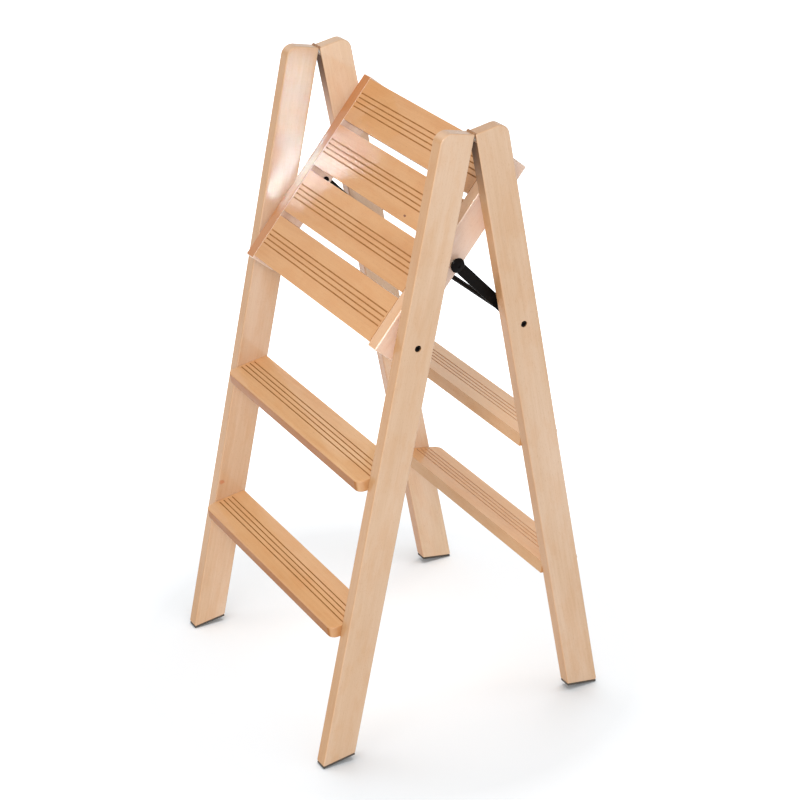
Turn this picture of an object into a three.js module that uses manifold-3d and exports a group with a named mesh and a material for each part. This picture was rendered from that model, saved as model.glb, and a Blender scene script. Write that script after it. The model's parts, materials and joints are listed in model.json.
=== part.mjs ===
// A folding wooden step stool: two ladder frames hinged at the top, with treads on both
// sides, and a slatted platform between them that two flat struts swing level as it opens.
//
// Lengths are in millimetres, angles in degrees. X runs to the right, Y from the front
// frame to the rear frame and Z up. The origin is on the floor, below the top hinges.
import * as THREE from 'three';
import { mergeVertices } from 'three/addons/utils/BufferGeometryUtils.js';
import Module from 'manifold-3d';

// The pose: half open, as it stands when somebody is setting it up
const restHalfAngle = 11.39; // lean of each frame from the vertical
const restPlatformAngle = 50.81; // slope of the platform, rising to the rear

// The two frames
const stoolWidth = 460; // over the outer faces of the legs
const boardThickness = 21; // legs and platform rails
const legWidth = 51;
const legLength = 929; // along the mating edge, from the top hinge to the foot
const legTopRadius = 17; // outer top corner
const matingGap = 0.5; // from a leg's mating edge to the plane where the frames meet
const openHalfAngle = 20; // lean at which the feet and the treads are level
const boardRound = 2.2; // rounded long edges of legs and rails
const seatGap = 0.3; // between pieces that touch
const cutOverrun = 2; // how far a cutting solid runs past the face that it cuts

// Treads
const treadThickness = 18;
const treadDepth = 69.2;
const treadFromMating = 3.3; // the top face's inner edge, out from the mating plane
const treadDrops = { upper: 482.8, lower: 709.8 }; // down the leg to the top face
const treadCornerRadius = 12;
const slatRound = 2.5; // rounded long edges of treads and slats
const treadGrooveInset = 5; // from a tread's end to the start of its grooves

// Non-slip grooves, alike in treads and slats
const grooveCount = 4;
const groovePitch = 7.45;
const grooveWidth = 1.7;
const grooveDepth = 1.3;

// Stub tenons at the ends of treads and slats, glued into mortises
const tenonLength = 8;
const tenonThickness = 9;
const tenonWidth = 34;

// Platform, measured from its pivot: along the rails to the rear, and square to them
const pivotDrop = 300; // down the leg, for the platform pivot and for the cross rod
const pivotFromMating = 25.7;
const railToLeg = 11; // the space that the struts move in
const railFront = 34.3;
const railRear = 285.1;
const railHeight = 43.1;
const railTop = 35.4;
const slatCount = 4;
const slatWidth = 70.8;
const slatThickness = 18;
const slatGap = 9.3;
const slatRearInset = 3; // last slat's edge to the rails' rear ends
const slatGrooveInset = 2.8;

// Struts and the cross rod that carries them on the rear frame
const strutPinAlong = 123; // where a strut meets the rail, from the platform pivot
const strutPinUp = 3;
const strutWidth = 16;
const strutThickness = 3;
const strutWasherThickness = 2.4;
const strutWasherRadius = 8;
const strutCapRadius = 10.7;
const strutCapRim = 1;
const strutCapHeight = 4.6;
const capSocketRadius = 2.4;
const capSocketDepth = 1.3;
const strutNutRadius = 4.6; // domed nut on the rail's inner face
const strutNutRim = 1.4;
const strutNutHeight = 3.8;
const rodRadius = 3.75;
const rodSleeveRadius = 7.5;

// Bolts
const pivotBoltRadius = 3;
const rodScrewRadius = 2.2;
const rodScrewReach = 18; // into the rod's end
const boltHeadRadius = 4.6;
const boltHeadLength = 4.5;
const boltSocketRadius = 2.3;
const boltSocketDepth = 2.4;
const headSink = 0.9; // a bolt head lies this far below the leg's face
const boltReach = 16; // into the rail
const pivotSpacerRadius = 7;

// Top hinges, let into the mating edges
const leafWidth = 18; // along X
const leafLength = 12.5;
const leafThickness = 1.5;
const knuckleRadius = 2.4;
const hingePinRadius = 1;
const middleKnuckle = 6;
const hingeScrewSpread = 10.4;
const hingeScrewDrop = 7.6;
const hingeScrewRadius = 1.4;
const hingeScrewHeadRadius = 2.7;
const hingeScrewHeadDepth = 1.2;
const hingeScrewLength = 14;
const hingeScrewTip = 3;

// Foot pads
const padThickness = 3;
const padInset = 0.6; // inside the leg's outline

// How finely round shapes are drawn
const cornerSteps = 6;
const edgeSteps = 2;
const roundSides = 24;
const smallSides = 16;
const domeSteps = 5;
const mergeDistance = 1e-4;

// Sizes that follow from the ones above
const rest = THREE.MathUtils.degToRad(restHalfAngle);
const open = THREE.MathUtils.degToRad(openHalfAngle);
const legInnerFace = stoolWidth / 2 - boardThickness;
const railFace = legInnerFace - railToLeg;
const treadLength = 2 * (legInnerFace - seatGap);
const railInner = railFace - boardThickness;
const slatLength = 2 * (railInner - seatGap);
const railBottom = railTop - railHeight;
const strutInner = railFace + seatGap + strutWasherThickness + seatGap;
const strutOuter = strutInner + strutThickness;
const padDepth = seatGap + padThickness;
const hingeCentre = stoolWidth / 2 - boardThickness / 2;
const leafFloor = matingGap + leafThickness + seatGap;

// The lowest edge of the stool is the outer edge of the pads
const padOuter = legWidth - padInset;
const padLowDrop = legLength + padOuter * Math.tan(open) + padDepth * Math.cos(open);
const padLowOut = padOuter - padDepth * Math.sin(open);
const apexHeight = padLowDrop * Math.cos(rest) - padLowOut * Math.sin(rest);

// Materials
const beech = new THREE.MeshStandardMaterial({ color: 0xe0b186, roughness: 0.42, metalness: 0 });
const beechLight = new THREE.MeshStandardMaterial({ color: 0xe4b585, roughness: 0.42, metalness: 0 });
const blackSteel = new THREE.MeshStandardMaterial({ color: 0x1e1a17, roughness: 0.38, metalness: 0.6 });
const zincSteel = new THREE.MeshStandardMaterial({ color: 0xb9b4a8, roughness: 0.35, metalness: 0.9 });
const blackRubber = new THREE.MeshStandardMaterial({ color: 0x201d1b, roughness: 0.8, metalness: 0 });

// Cutting and joining closed meshes
const wasm = await Module();
wasm.setup();

function solidOf(geometry) {
  const bare = geometry.clone();
  bare.deleteAttribute('normal');
  bare.deleteAttribute('uv');
  const merged = mergeVertices(bare, mergeDistance);
  const vertProperties = Float32Array.from(merged.attributes.position.array);
  const triVerts = Uint32Array.from(merged.index.array);
  return new wasm.Manifold(new wasm.Mesh({ numProp: 3, vertProperties, triVerts }));
}

function geometryOf(solid) {
  const mesh = solid.getMesh();
  const geometry = new THREE.BufferGeometry();
  geometry.setAttribute('position', new THREE.BufferAttribute(mesh.vertProperties, 3));
  geometry.setIndex(new THREE.BufferAttribute(mesh.triVerts, 1));
  geometry.computeVertexNormals();
  return geometry;
}

// One closed surface, its coinciding vertices merged
function closed(geometry) {
  return geometryOf(solidOf(geometry));
}

function joined(base, others) {
  return geometryOf(others.reduce((solid, other) => solid.add(solidOf(other)), solidOf(base)));
}

function cut(base, tools) {
  return geometryOf(tools.reduce((solid, tool) => solid.subtract(solidOf(tool)), solidOf(base)));
}

function common(base, other) {
  return geometryOf(solidOf(base).intersect(solidOf(other)));
}

// The same closed geometry on the other side of the plane X = 0
function mirrored(geometry) {
  const copy = closed(geometry).applyMatrix4(new THREE.Matrix4().makeScale(-1, 1, 1));
  const index = copy.index.array;
  for (let i = 0; i < index.length; i += 3) {
    [index[i], index[i + 1]] = [index[i + 1], index[i]];
  }
  copy.computeVertexNormals();
  return copy;
}

// A closed outline through corners [across, up, radius], its corners rounded by arcs
function roundedOutline(corners) {
  const points = [];
  corners.forEach(([across, up, radius], i) => {
    const corner = new THREE.Vector2(across, up);
    if (radius === 0) {
      points.push(corner);
      return;
    }
    const before = corners.at(i - 1);
    const after = corners[(i + 1) % corners.length];
    const back = new THREE.Vector2(before[0], before[1]).sub(corner).normalize();
    const ahead = new THREE.Vector2(after[0], after[1]).sub(corner).normalize();
    const half = Math.acos(back.dot(ahead)) / 2;
    const bisector = back.clone().add(ahead).normalize();
    const centre = corner.clone().addScaledVector(bisector, radius / Math.sin(half));
    const start = corner.clone().addScaledVector(back, radius / Math.tan(half)).sub(centre).angle();
    const end = corner.clone().addScaledVector(ahead, radius / Math.tan(half)).sub(centre).angle();
    const turn = Math.atan2(Math.sin(end - start), Math.cos(end - start));
    for (let k = 0; k <= cornerSteps; k += 1) {
      const angle = start + (turn * k) / cornerSteps;
      const spoke = new THREE.Vector2(Math.cos(angle), Math.sin(angle));
      points.push(centre.clone().addScaledVector(spoke, radius));
    }
  });
  return new THREE.Shape(points);
}

// Two half circles joined by straight sides, about the origin and a centre at minus span
function roundEndedOutline(span, radius) {
  const halfTurn = roundSides / 2;
  const points = [];
  [0, -span].forEach((centre, end) => {
    for (let k = 0; k <= halfTurn; k += 1) {
      const angle = Math.PI * (end + k / halfTurn) - Math.PI / 2;
      points.push(new THREE.Vector2(centre + radius * Math.cos(angle), radius * Math.sin(angle)));
    }
  });
  return new THREE.Shape(points);
}

// A board whose outline lies in the Y Z plane, from X = start on, with rounded edges
function boardAcross(outline, start, thickness, round) {
  const settings = { depth: thickness, bevelEnabled: false };
  if (round > 0) {
    settings.depth = thickness - 2 * round;
    settings.bevelEnabled = true;
    settings.bevelThickness = round;
    settings.bevelSize = round;
    settings.bevelOffset = -round;
    settings.bevelSegments = edgeSteps;
  }
  const geometry = new THREE.ExtrudeGeometry(outline, settings);
  const turned = new THREE.Matrix4().makeBasis(
    new THREE.Vector3(0, 1, 0),
    new THREE.Vector3(0, 0, 1),
    new THREE.Vector3(1, 0, 0),
  );
  return geometry.translate(0, 0, round).applyMatrix4(turned).translate(start, 0, 0);
}

function block(low, high) {
  const size = high.map((value, axis) => value - low[axis]);
  const centre = high.map((value, axis) => (value + low[axis]) / 2);
  return new THREE.BoxGeometry(...size).translate(...centre);
}

// A round bar along X
function bar(radius, start, end, sides) {
  const geometry = new THREE.CylinderGeometry(radius, radius, end - start, sides);
  return geometry.rotateZ(-Math.PI / 2).translate((start + end) / 2, 0, 0);
}

// A turned piece about X: the profile lists [radius, place along X] from tip to head
function turnedPiece(profile, sides) {
  const points = profile.map(([radius, along]) => new THREE.Vector2(radius, along));
  return new THREE.LatheGeometry(points, sides).rotateZ(-Math.PI / 2);
}

function ring(outer, inner, start, end) {
  return turnedPiece(
    [
      [inner, start],
      [outer, start],
      [outer, end],
      [inner, end],
      [inner, start],
    ],
    roundSides,
  );
}

// Grooves along X, in a top face at height top, centred across Y at middle
function grooves(length, middle, top) {
  return Array.from({ length: grooveCount }, (_, k) => {
    const across = middle + (k - (grooveCount - 1) / 2) * groovePitch;
    return block(
      [-length / 2, across - grooveWidth / 2, top - grooveDepth],
      [length / 2, across + grooveWidth / 2, top + cutOverrun],
    );
  });
}

// A tenon block along the whole piece, centred at middle and level, grown by gap all round
function tenonBlock(length, middle, level, gap) {
  const reach = length / 2 + tenonLength + gap;
  return block(
    [-reach, middle - tenonWidth / 2 - gap, level - tenonThickness / 2 - gap],
    [reach, middle + tenonWidth / 2 + gap, level + tenonThickness / 2 + gap],
  );
}

// A board along X with a round-edged section, from front to rear in Y, below top in Z
function slatBoard(length, front, rear, top, thickness) {
  const section = roundedOutline([
    [front, top - thickness, slatRound],
    [rear, top - thickness, slatRound],
    [rear, top, slatRound],
    [front, top, slatRound],
  ]);
  return boardAcross(section, -length / 2, length, 0);
}

// Bolts lie along X with their heads outwards; head is the place of the head's outer face
function boltProfile(radius, head, tip) {
  return [
    [0, tip],
    [radius, tip],
    [radius, head - boltHeadLength],
    [boltHeadRadius, head - boltHeadLength],
    [boltHeadRadius, head],
    [boltSocketRadius, head],
    [boltSocketRadius, head - boltSocketDepth],
    [0, head - boltSocketDepth],
  ];
}

const boltHead = stoolWidth / 2 - headSink;

function boltHole(radius) {
  const shoulder = boltHead - boltHeadLength - seatGap;
  const throughHole = bar(radius + seatGap, legInnerFace - cutOverrun, stoolWidth / 2, smallSides);
  const counterbore = bar(boltHeadRadius + seatGap, shoulder, stoolWidth / 2 + cutOverrun, roundSides);
  return [throughHole, counterbore].map((tool) => tool.translate(0, -pivotFromMating, -pivotDrop));
}

// A frame is drawn closed and upright: the hinge line at the origin, Z up the legs and Y
// into the leg from its outer edge, so that every piece lies at Y below zero

const treadMiddle = -treadDepth / 2;

function treadPlace(drop) {
  const place = new THREE.Matrix4().makeRotationX(open);
  return place.setPosition(0, -treadFromMating, -drop);
}

function treadGeometry() {
  const half = treadLength / 2;
  const board = slatBoard(treadLength, -treadDepth, 0, 0, treadThickness);
  const plan = new THREE.ExtrudeGeometry(
    roundedOutline([
      [-half, 0, 0],
      [-half, -treadDepth, treadCornerRadius],
      [half, -treadDepth, treadCornerRadius],
      [half, 0, 0],
    ]),
    { depth: treadThickness, bevelEnabled: false },
  ).translate(0, 0, -treadThickness);
  const shaped = common(board, plan);
  const tenonMiddle = tenonCentre();
  const tenoned = joined(shaped, [tenonBlock(treadLength, tenonMiddle, -treadThickness / 2, 0)]);
  return cut(tenoned, grooves(treadLength - 2 * treadGrooveInset, treadMiddle, 0));
}

// The tenons sit in the middle of the leg, not of the tread, which stands out in front
function tenonCentre() {
  const fromMating = legWidth / 2 - treadFromMating;
  return -fromMating / Math.cos(open) - (treadThickness / 2) * Math.tan(open);
}

function hingeLeafRecess() {
  const side = leafWidth / 2 + seatGap;
  const pocket = block(
    [hingeCentre - side, -leafFloor, -leafLength - seatGap],
    [hingeCentre + side, 0, cutOverrun],
  );
  const knuckles = bar(knuckleRadius + seatGap, hingeCentre - side, hingeCentre + side, roundSides);
  return [pocket, knuckles];
}

function hingeScrewPlaces() {
  return [-1, 1].map((end) => hingeCentre + (end * hingeScrewSpread) / 2);
}

// Screws run from the leaf's face into the leg, so along minus Y
function hingeScrew(gap) {
  const face = matingGap - gap;
  const neck = matingGap + hingeScrewHeadDepth + gap;
  const tip = matingGap + hingeScrewLength + gap;
  const profile = [
    [0, -tip],
    [hingeScrewRadius / 2 + gap, -tip],
    [hingeScrewRadius + gap, -tip + hingeScrewTip],
    [hingeScrewRadius + gap, -neck],
    [hingeScrewHeadRadius + gap, -face],
    [0, -face],
  ];
  const points = profile.map(([radius, along]) => new THREE.Vector2(radius, along));
  return new THREE.LatheGeometry(points, smallSides);
}

function legGeometry(boltRadius) {
  const cutSlope = Math.tan(open);
  const outline = roundedOutline([
    [-matingGap, 0, 0],
    [-legWidth, 0, legTopRadius],
    [-legWidth, -legLength - legWidth * cutSlope, 0],
    [-matingGap, -legLength - matingGap * cutSlope, 0],
  ]);
  const board = boardAcross(outline, legInnerFace, boardThickness, boardRound);
  const mortise = tenonBlock(treadLength, tenonCentre(), -treadThickness / 2, seatGap);
  const mortises = Object.values(treadDrops).map((drop) =>
    mortise.clone().applyMatrix4(treadPlace(drop)));
  const pilots = hingeScrewPlaces().map((x) => hingeScrew(seatGap).translate(x, 0, -hingeScrewDrop));
  return cut(board, [...mortises, ...hingeLeafRecess(), ...pilots, ...boltHole(boltRadius)]);
}

// A leaf has its knuckles at both ends, or one in the middle, with the pin through them
function hingeLeaf(outerKnuckles) {
  const side = leafWidth / 2;
  const middle = middleKnuckle / 2;
  const spans = outerKnuckles
    ? [[-side, -middle - seatGap], [middle + seatGap, side]]
    : [[-middle, middle]];
  const clear = knuckleRadius + seatGap;
  const leafBack = -matingGap - leafThickness;
  const plate = block([-side, leafBack, -leafLength], [side, -matingGap, -clear]);
  const necks = spans.map(([start, end]) =>
    block([start, leafBack, -clear - matingGap], [end, -matingGap, 0]));
  const barrels = spans.map(([start, end]) => bar(knuckleRadius, start, end, roundSides));
  const pinHole = bar(hingePinRadius + seatGap, -side - cutOverrun, side + cutOverrun, smallSides);
  const screwHoles = hingeScrewPlaces().map((x) =>
    hingeScrew(seatGap).translate(x - hingeCentre, 0, -hingeScrewDrop));
  return cut(joined(plate, [...necks, ...barrels]), [pinHole, ...screwHoles]);
}

function footPadGeometry() {
  // The pad's outline follows the cut end of the leg
  const corner = (out, below) => [
    -(out - below * Math.sin(open)),
    -(legLength + out * Math.tan(open) + below * Math.cos(open)),
    0,
  ];
  const inner = matingGap + padInset;
  const outline = roundedOutline([
    corner(inner, seatGap),
    corner(padOuter, seatGap),
    corner(padOuter, padDepth),
    corner(inner, padDepth),
  ]);
  return boardAcross(outline, legInnerFace + padInset, boardThickness - 2 * padInset, 0);
}

function railGeometry() {
  const outline = roundedOutline([
    [-railFront, railBottom, 0],
    [railRear, railBottom, 0],
    [railRear, railTop, 0],
    [-railFront, railTop, 0],
  ]);
  const board = boardAcross(outline, railInner, boardThickness, boardRound);
  const holeRadius = pivotBoltRadius + seatGap;
  const holeEnd = railFace - boltReach - seatGap;
  const pivotHole = bar(holeRadius, holeEnd, railFace + cutOverrun, smallSides);
  const pinHole = bar(holeRadius, railInner - cutOverrun, railFace + cutOverrun, smallSides);
  pinHole.translate(0, strutPinAlong, strutPinUp);
  const mortises = slatMiddles().map((middle) =>
    tenonBlock(slatLength, middle, railTop - slatThickness / 2, seatGap));
  return cut(board, [pivotHole, pinHole, ...mortises]);
}

// Slats are counted from the rear, which is the top in the half-open pose
function slatMiddles() {
  const last = railRear - slatRearInset - slatWidth / 2;
  return Array.from({ length: slatCount }, (_, k) => last - k * (slatWidth + slatGap));
}

function slatGeometry() {
  const board = slatBoard(slatLength, -slatWidth / 2, slatWidth / 2, 0, slatThickness);
  const tenoned = joined(board, [tenonBlock(slatLength, 0, -slatThickness / 2, 0)]);
  return cut(tenoned, grooves(slatLength - 2 * slatGrooveInset, 0, 0));
}

// A strut is drawn with its cross rod eye at the origin, reaching towards minus Y
function strutGeometry(span) {
  const plate = boardAcross(roundEndedOutline(span, strutWidth / 2), strutInner, strutThickness, 0);
  const start = strutInner - cutOverrun;
  const end = strutOuter + cutOverrun;
  const eye = bar(rodRadius + seatGap, start, end, roundSides);
  const pinHole = bar(pivotBoltRadius + seatGap, start, end, smallSides).translate(0, -span, 0);
  return cut(plate, [eye, pinHole]);
}

// Profile points of a domed head, from its rim to near its crown, height above its base
function domeArc(radius, rim, height) {
  return Array.from({ length: domeSteps }, (_, k) => {
    const turn = (k * Math.PI) / 2 / domeSteps;
    return [radius * Math.cos(turn), rim + (height - rim) * Math.sin(turn)];
  });
}

function strutCapGeometry() {
  const base = strutOuter + seatGap;
  const arc = domeArc(strutCapRadius, strutCapRim, strutCapHeight);
  const socketTop = base + strutCapHeight;
  return turnedPiece(
    [
      [0, railFace + seatGap],
      [pivotBoltRadius, railFace + seatGap],
      [pivotBoltRadius, base],
      [strutCapRadius, base],
      ...arc.map(([radius, height]) => [radius, base + height]),
      [capSocketRadius, socketTop],
      [capSocketRadius, socketTop - capSocketDepth],
      [0, socketTop - capSocketDepth],
    ],
    roundSides,
  );
}

// The nut's crown points inwards, and its stub of bolt ends just inside the rail's outer face
function strutNutGeometry() {
  const base = railInner - seatGap;
  const arc = domeArc(strutNutRadius, strutNutRim, strutNutHeight).reverse();
  return turnedPiece(
    [
      [0, base - strutNutHeight],
      ...arc.map(([radius, height]) => [radius, base - height]),
      [strutNutRadius, base],
      [pivotBoltRadius, base],
      [pivotBoltRadius, railFace - seatGap],
      [0, railFace - seatGap],
    ],
    roundSides,
  );
}

// Placing the pieces
const stool = new THREE.Group();

function piece(parent, name, geometry, material, y, z) {
  const mesh = new THREE.Mesh(closed(geometry), material.clone());
  mesh.name = name;
  mesh.position.set(0, y, z);
  parent.add(mesh);
  return mesh;
}

// Both sides of a piece that is drawn for the right-hand side
function pair(parent, name, geometry, material, y, z, swapped) {
  const [right, left] = swapped ? ['left', 'right'] : ['right', 'left'];
  piece(parent, `${name}_${right}`, geometry, material, y, z);
  piece(parent, `${name}_${left}`, mirrored(geometry), material, y, z);
}

// The rear frame is the front frame turned half round, which swaps its left and right
function addFrame(end) {
  const rear = end === 'rear';
  const turnedFrame = new THREE.Group();
  turnedFrame.position.z = apexHeight;
  turnedFrame.rotation.z = rear ? Math.PI : 0;
  const frame = new THREE.Group();
  frame.rotation.x = -rest;
  turnedFrame.add(frame);
  stool.add(turnedFrame);

  pair(frame, `${end}_leg`, legGeometry(rear ? rodScrewRadius : pivotBoltRadius), beech, 0, 0, rear);
  Object.entries(treadDrops).forEach(([level, drop]) => {
    const name = `${end}_tread_${level}`;
    const tread = piece(frame, name, treadGeometry(), beechLight, -treadFromMating, -drop);
    tread.rotation.x = open;
  });
  pair(frame, `${end}_foot_pad`, footPadGeometry(), blackRubber, 0, 0, rear);

  const leaf = hingeLeaf(!rear).translate(hingeCentre, 0, 0);
  pair(frame, `${end}_hinge_leaf`, leaf, zincSteel, 0, 0, rear);
  hingeScrewPlaces().forEach((x, k) => {
    const screw = hingeScrew(0).translate(x, 0, 0);
    pair(frame, `${end}_hinge_screw_${k + 1}`, screw, zincSteel, 0, -hingeScrewDrop, rear);
  });
  return frame;
}

const frontFrame = addFrame('front');
const rearFrame = addFrame('rear');

const hingePin = bar(hingePinRadius, -leafWidth / 2, leafWidth / 2, smallSides).translate(hingeCentre, 0, 0);
pair(frontFrame, 'hinge_pin', hingePin, zincSteel, 0, 0, false);

// Platform pivots on the front legs
const pivotBolt = turnedPiece(boltProfile(pivotBoltRadius, boltHead, railFace - boltReach), roundSides);
const spacerEnds = [railFace + seatGap, legInnerFace - seatGap];
const pivotSpacer = ring(pivotSpacerRadius, pivotBoltRadius + seatGap, ...spacerEnds);
pair(frontFrame, 'pivot_bolt', pivotBolt, blackSteel, -pivotFromMating, -pivotDrop, false);
pair(frontFrame, 'pivot_spacer', pivotSpacer, blackSteel, -pivotFromMating, -pivotDrop, false);

// Cross rod between the rear legs, with a screw and a sleeve at each end
const rodEnd = legInnerFace - seatGap;
const rodScrewTip = rodEnd - rodScrewReach;
const rodBore = bar(rodScrewRadius + seatGap, rodScrewTip - seatGap, rodEnd + cutOverrun, smallSides);
const rod = cut(bar(rodRadius, -rodEnd, rodEnd, roundSides), [rodBore, mirrored(rodBore)]);
const rodScrew = turnedPiece(boltProfile(rodScrewRadius, boltHead, rodScrewTip), roundSides);
const rodSleeve = ring(rodSleeveRadius, rodRadius + seatGap, strutOuter + seatGap, rodEnd);
piece(rearFrame, 'cross_rod', rod, blackSteel, -pivotFromMating, -pivotDrop);
pair(rearFrame, 'cross_rod_screw', rodScrew, blackSteel, -pivotFromMating, -pivotDrop, true);
pair(rearFrame, 'cross_rod_sleeve', rodSleeve, blackSteel, -pivotFromMating, -pivotDrop, true);

// Platform
const pivotY = -(pivotDrop * Math.sin(rest) + pivotFromMating * Math.cos(rest));
const pivotZ = apexHeight - pivotDrop * Math.cos(rest) + pivotFromMating * Math.sin(rest);
const platform = new THREE.Group();
platform.position.set(0, pivotY, pivotZ);
platform.rotation.x = THREE.MathUtils.degToRad(restPlatformAngle);
stool.add(platform);
pair(platform, 'platform_rail', railGeometry(), beech, 0, 0, false);
pair(platform, 'strut_nut', strutNutGeometry(), blackSteel, strutPinAlong, strutPinUp, false);
slatMiddles().forEach((middle, k) => {
  piece(platform, `platform_slat_${k + 1}`, slatGeometry(), beechLight, middle, railTop);
});

// Struts, from the cross rod up to the rails
const strutPin = new THREE.Vector3(0, strutPinAlong, strutPinUp);
strutPin.applyEuler(platform.rotation).add(platform.position);
const rodCentre = new THREE.Vector3(0, -pivotY, pivotZ);
const reach = rodCentre.clone().sub(strutPin);
const strutSpan = reach.length();
const struts = new THREE.Group();
struts.position.copy(rodCentre);
struts.rotation.x = Math.atan2(reach.z, reach.y);
stool.add(struts);
const washerEnds = [railFace + seatGap, strutInner - seatGap];
const strutWasher = ring(strutWasherRadius, pivotBoltRadius + seatGap, ...washerEnds);
pair(struts, 'strut', strutGeometry(strutSpan), blackSteel, 0, 0, false);
pair(struts, 'strut_cap', strutCapGeometry(), blackSteel, -strutSpan, 0, false);
pair(struts, 'strut_washer', strutWasher, zincSteel, -strutSpan, 0, false);

export default stool;
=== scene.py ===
# %% [markdown]
# # A folding step stool in lacquered beech
#
# The stool stands half open: two ladder frames are hinged together at the top, a slatted
# platform swings on two bolts in the front legs, and two flat black struts tie it to a rod
# between the rear legs. The CAD model gives every piece its place and its size. Here each
# board gets softly rounded edges, milled grooves and the grain of real beech, and each
# metal piece gets its paint or plating. Lengths are in metres and match the CAD model.

import json
from math import atan2, cos, hypot, pi, radians, sin, tan

import bmesh
import bpy
from mathutils import Matrix, Vector

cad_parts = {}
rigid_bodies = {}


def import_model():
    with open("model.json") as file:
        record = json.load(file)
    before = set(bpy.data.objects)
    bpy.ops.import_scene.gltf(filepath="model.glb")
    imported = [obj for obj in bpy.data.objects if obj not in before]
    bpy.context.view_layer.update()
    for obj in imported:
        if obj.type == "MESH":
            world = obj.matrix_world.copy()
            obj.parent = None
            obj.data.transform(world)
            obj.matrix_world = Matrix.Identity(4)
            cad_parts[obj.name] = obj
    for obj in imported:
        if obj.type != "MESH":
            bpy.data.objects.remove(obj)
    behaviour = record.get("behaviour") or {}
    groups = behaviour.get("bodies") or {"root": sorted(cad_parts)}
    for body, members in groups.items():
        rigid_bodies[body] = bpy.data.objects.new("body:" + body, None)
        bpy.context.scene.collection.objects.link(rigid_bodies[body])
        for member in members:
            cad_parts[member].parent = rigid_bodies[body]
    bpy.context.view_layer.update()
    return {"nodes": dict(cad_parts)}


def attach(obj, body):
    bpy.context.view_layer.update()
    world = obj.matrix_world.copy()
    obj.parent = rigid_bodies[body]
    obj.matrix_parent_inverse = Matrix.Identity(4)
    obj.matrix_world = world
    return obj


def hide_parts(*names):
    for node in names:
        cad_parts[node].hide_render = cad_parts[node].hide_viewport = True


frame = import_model()

# %% [markdown]
# ## The sizes of the pieces
#
# Every size below repeats the CAD model's, so that a board made here fills exactly the
# place of the solid that it stands for. A joiner would keep such a cutting list too.
# Everything is drawn for the right side. In the two lists at the end, the word True marks a
# piece that is mirrored from there. A rear frame is the front one turned half round, so its
# left side is the drawn one. Cutting tools run a little over what they cut.

# %% Cutting list
MM = 0.001
STOOL_WIDTH = 460 * MM
BOARD = 21 * MM
LEG_WIDTH = 51 * MM
LEG_LENGTH = 929 * MM
LEG_TOP_RADIUS = 17 * MM
BOARD_ROUND, FOOT_ROUND, JOINT_ROUND = 2.2 * MM, 3.5 * MM, 0.9 * MM
MATING_GAP = 0.5 * MM
SEAT_GAP = 0.3 * MM
REST_LEAN = radians(11.39)
OPEN_LEAN = radians(20)
PLATFORM_SLOPE = radians(50.81)

TREAD_DEPTH = 69.2 * MM
TREAD_THICK = 18 * MM
TREAD_FROM_MATING = 3.3 * MM
TREAD_DROPS = {"upper": 482.8 * MM, "lower": 709.8 * MM}
TREAD_CORNER = 12 * MM
STEP_ROUND = 2.5 * MM
TREAD_GROOVE_INSET = 5 * MM
GROOVE_COUNT, GROOVE_PITCH = 4, 7.45 * MM
GROOVE_WIDTH, GROOVE_DEPTH, GROOVE_LIP = 1.7 * MM, 1.3 * MM, 0.15 * MM

PIVOT_DROP, PIVOT_FROM_MATING = 300 * MM, 25.7 * MM
RAIL_FRONT, RAIL_REAR = 34.3 * MM, 285.1 * MM
RAIL_HEIGHT, RAIL_TOP, RAIL_TO_LEG = 43.1 * MM, 35.4 * MM, 11 * MM
SLAT_COUNT, SLAT_WIDTH, SLAT_THICK, SLAT_GAP = 4, 70.8 * MM, 18 * MM, 9.3 * MM
SLAT_REAR_INSET, SLAT_GROOVE_INSET = 3 * MM, 2.8 * MM

STRUT_PIN = (123 * MM, 3 * MM)
STRUT_WIDTH, STRUT_THICK, STRUT_EDGE = 16 * MM, 3 * MM, 0.35 * MM
WASHER_RADIUS, WASHER_THICK, RING_EDGE = 8 * MM, 2.4 * MM, 0.3 * MM
CAP_RADIUS, CAP_RIM, CAP_HEIGHT, CAP_EDGE = 10.7 * MM, 1 * MM, 4.6 * MM, 0.3 * MM
NUT_RADIUS, NUT_RIM, NUT_HEIGHT = 4.6 * MM, 1.4 * MM, 3.8 * MM
ROD_RADIUS, SLEEVE_RADIUS, SPACER_RADIUS = 3.75 * MM, 7.5 * MM, 7 * MM
BOLT_HEAD_RADIUS, BOLT_HEAD_LENGTH, HEAD_SINK = 4.6 * MM, 4.5 * MM, 0.9 * MM
BOLT_RADIUS, BOLT_EDGE, BOLT_ROOM, ROD_EDGE = 3 * MM, 0.45 * MM, 0.1 * MM, 0.4 * MM
SOCKET_RADIUS, CAP_SOCKET_DEPTH, BOLT_SOCKET_DEPTH = 2.6 * MM, 1.3 * MM, 2.4 * MM
PAD_THICK, PAD_INSET, PAD_ROUND = 3 * MM, 0.6 * MM, 1.1 * MM
LEAF_WIDTH, LEAF_LENGTH, LEAF_THICK, KNUCKLE_RADIUS = 18 * MM, 12.5 * MM, 1.5 * MM, 2.4 * MM

HALF = STOOL_WIDTH / 2
LEG_INNER = HALF - BOARD
RAIL_FACE = LEG_INNER - RAIL_TO_LEG
RAIL_INNER = RAIL_FACE - BOARD
HINGE_CENTRE = HALF - BOARD / 2
OVER = 2 * MM
SIDES = (("right", False), ("left", True))
CORNERS = (("front", "right", False), ("front", "left", True),
           ("rear", "left", False), ("rear", "right", True))
print("rails from", round(RAIL_INNER, 4), "to", round(RAIL_FACE, 4), "m out from the middle")

# %% [markdown]
# ## Where each piece goes
#
# A frame is easiest to draw upright, with its hinge line at the origin and its width
# towards minus Y. Three matrices then carry a drawn piece to the half-open stool: one for
# each frame and one for the platform.

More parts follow.
